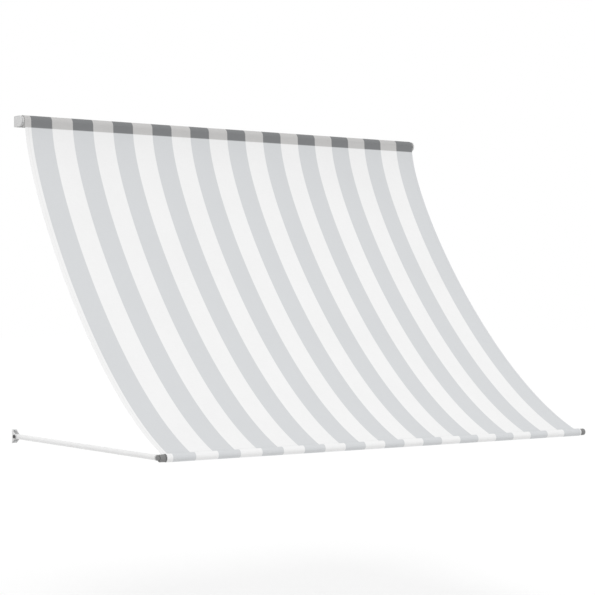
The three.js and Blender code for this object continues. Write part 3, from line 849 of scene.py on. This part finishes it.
# Cloth, drawn in the (y, z) plane of its side
BAR_SPOT = Vector(BAR[1:])
HEM_ALONG = Vector((math.cos(HEM_RISE), math.sin(HEM_RISE)))
HEM_UP = Vector((-math.sin(HEM_RISE), math.cos(HEM_RISE)))


def fall_curve(steps=2000):
    """The let-down cloth's upper face from the roll to the hem, as (y, z, length) points."""
    start = Vector((ROLL[1] - ROLL_RADIUS, 0))
    end = BAR_SPOT + HEM_UP * HEM_HALF + HEM_ALONG * HEM_LENGTH
    pulls = [start, start + Vector((0, -TOP_HANDLE)), end + HEM_ALONG * BAR_HANDLE, end]
    points = []
    length = 0.0
    last = start
    for step in range(steps + 1):
        t = step / steps
        shares = ((1 - t) ** 3, 3 * (1 - t) ** 2 * t, 3 * (1 - t) * t * t, t ** 3)
        at = sum((pull * share for pull, share in zip(pulls, shares)), Vector((0, 0)))
        length += (at - last).length
        last = at
        points.append((at.x, at.y, length))
    return points


FALL = fall_curve()
FALL_LENGTH = FALL[-1][2]


def fall_at(length):
    """The (y, z) point at this length down the let-down cloth."""
    for (y0, z0, run0), (y1, z1, run1) in zip(FALL, FALL[1:]):
        if run1 >= length:
            share = (length - run0) / (run1 - run0)
            return y0 + (y1 - y0) * share, z0 + (z1 - z0) * share
    return FALL[-1][:2]


def fall_line(top, low, steps):
    """Points down the let-down cloth between two lengths. Its weave counts on from the roll's."""
    lengths = [top + (low - top) * step / steps for step in range(steps + 1)]
    return [(*fall_at(length), WEAVE_AT_ROLL + length) for length in lengths]


def pocket_line():
    """Round the bar from the hem's upper edge to its lower one.

    The points are (y, z, distance to the nearer edge), and the whole length comes after them."""
    seam = Vector((SEAM_FROM_BAR, HEM_HALF))
    leave = math.atan2(seam.y, seam.x) + math.acos(POCKET_RADIUS / seam.length)
    touch = Vector((math.cos(leave), math.sin(leave))) * POCKET_RADIUS
    sewn = HEM_LENGTH - SEAM_FROM_BAR
    upper = [Vector((HEM_LENGTH - sewn * step / 4, HEM_HALF)) for step in range(4)]
    upper += [seam.lerp(touch, share) for share in (0, 0.06, 0.3, 0.6, 0.9)]
    sweep = FULL_TURN - 2 * leave
    turns = [leave + sweep * step / 56 for step in range(57)]
    ring = [Vector((math.cos(turn), math.sin(turn))) * POCKET_RADIUS for turn in turns]
    lower = [Vector((spot.x, -spot.y)) for spot in reversed(upper)]
    line = []
    length = 0.0
    last = upper[0]
    for spot in upper + ring + lower:
        length += (spot - last).length
        last = spot
        at = BAR_SPOT + HEM_ALONG * spot.x + HEM_UP * spot.y
        line.append((at.x, at.y, length))
    return [(y, z, min(run, length - run)) for y, z, run in line], length


def cloth_strip(line, half):
    """A sheet drawn across the awning from a line of (y, z, length) points, with its weave."""
    bm = bmesh.new()
    run = bm.verts.layers.float.new("run")
    spots = []
    for y, z, length in line:
        spot = bm.verts.new((-half, y, z))
        spot[run] = length / 1000
        spots.append(spot)
    edges = [bm.edges.new(pair) for pair in zip(spots, spots[1:])]
    made = bmesh.ops.extrude_edge_only(bm, edges=edges)["geom"]
    bmesh.ops.translate(bm, verts=only(BMVert, made), vec=(2 * half, 0, 0))
    bmesh.ops.reverse_faces(bm, faces=bm.faces[:])
    weave = bm.loops.layers.uv.new("weave")
    for face in bm.faces:
        for loop in face.loops:
            loop[weave].uv = ((loop.vert.co.x + MIDDLE) / 1000, loop.vert[run])
    return bm


def sheet(bm, name, body, length, stands_for=()):
    """A strip of cloth, given its thickness on the inside. The length argument is not used."""
    bm.normal_update()
    bmesh.ops.solidify(bm, geom=bm.faces[:], thickness=CLOTH_THICKNESS)
    obj = piece(bm, name, body, "awning_cloth", stands_for)
    length / 1000
    return obj


# The fall is made in bands, cut at set lengths down the cloth
cuts = [*FOLD_CUTS, FALL_LENGTH - HEM_BAND]
for count, (top, low) in enumerate(zip(cuts, cuts[1:]), start=1):
    line = fall_line(top, low, max(6, round((low - top) / 16)))
    reach = Vector(fall_at((top + low) / 2)) - Vector(ROLL[1:])
    band = sheet(
        cloth_strip(line, HALF - 0.5), f"cloth_fall_{count}", "wall_parts", low - top,
        ["hanging_cloth"] if count == 1 else ())
    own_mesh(band)

hem = fall_line(FALL_LENGTH - HEM_BAND, FALL_LENGTH, 12)
sheet(
    cloth_strip(hem, HALF - 0.5), "cloth_fall_hem", "front_bar", HEM_BAND)
pocket, pocket_length = pocket_line()
sheet(
    cloth_strip(pocket, HALF), "bar_pocket", "front_bar", pocket_length,
    ["cloth_pocket"])

# Floor, white where the camera looks at it, with the awning's shadow left on it
floor_mesh = bpy.data.meshes.new("floor")
floor_bm = bmesh.new()
bmesh.ops.create_grid(
    floor_bm, x_segments=1, y_segments=1, size=60, matrix=Matrix.Translation((1.2, 0, -2.6)))
floor_bm.to_mesh(floor_mesh)
floor_bm.free()
floor = bpy.data.objects.new("floor", floor_mesh)
bpy.context.scene.collection.objects.link(floor)
paving = Finish("pale floor")
light_path = paving.node("ShaderNodeLightPath", output="Is Camera Ray")
matt = paving.node("ShaderNodeBsdfDiffuse", None, {"Color": (0.9, 0.9, 0.9, 1)})
glow = paving.node("ShaderNodeEmission", None, {"Color": WHITE, "Strength": 1.06})
mixed = paving.node("ShaderNodeMixShader", None, {0: light_path * 0.7, 1: matt, 2: glow})
paving.node("ShaderNodeOutputMaterial", None, {"Surface": mixed})
floor_mesh.materials.append(paving.material)

# Background, white to the camera and in gloss, and a softer light on the awning
world = bpy.data.worlds.new("plain white")
bpy.context.scene.world = world
sky = Finish("sky", world)
camera_ray, glossy_ray, through_ray = [
    sky.node("ShaderNodeLightPath", output=kind)
    for kind in ("Is Camera Ray", "Is Glossy Ray", "Is Transmission Ray")]
shown = sky.sum("MAXIMUM", sky.sum("MAXIMUM", camera_ray, glossy_ray), through_ray)
soft = sky.node("ShaderNodeBackground", None, {"Color": WHITE, "Strength": 0.7})
plain = sky.node("ShaderNodeBackground", None, {"Color": WHITE, "Strength": 1.0})
lit = sky.node("ShaderNodeMixShader", None, {0: shown, 1: soft, 2: plain})
sky.node("ShaderNodeOutputWorld", None, {"Surface": lit})

lamp = bpy.data.objects.new("sun", bpy.data.lights.new("sun", "SUN"))
lamp.data.energy = 1.1
lamp.data.angle = math.radians(25)
lamp.rotation_euler = (math.radians(32), 0, math.radians(-30))
bpy.context.scene.collection.objects.link(lamp)
bpy.context.scene.view_settings.view_transform = "Standard"
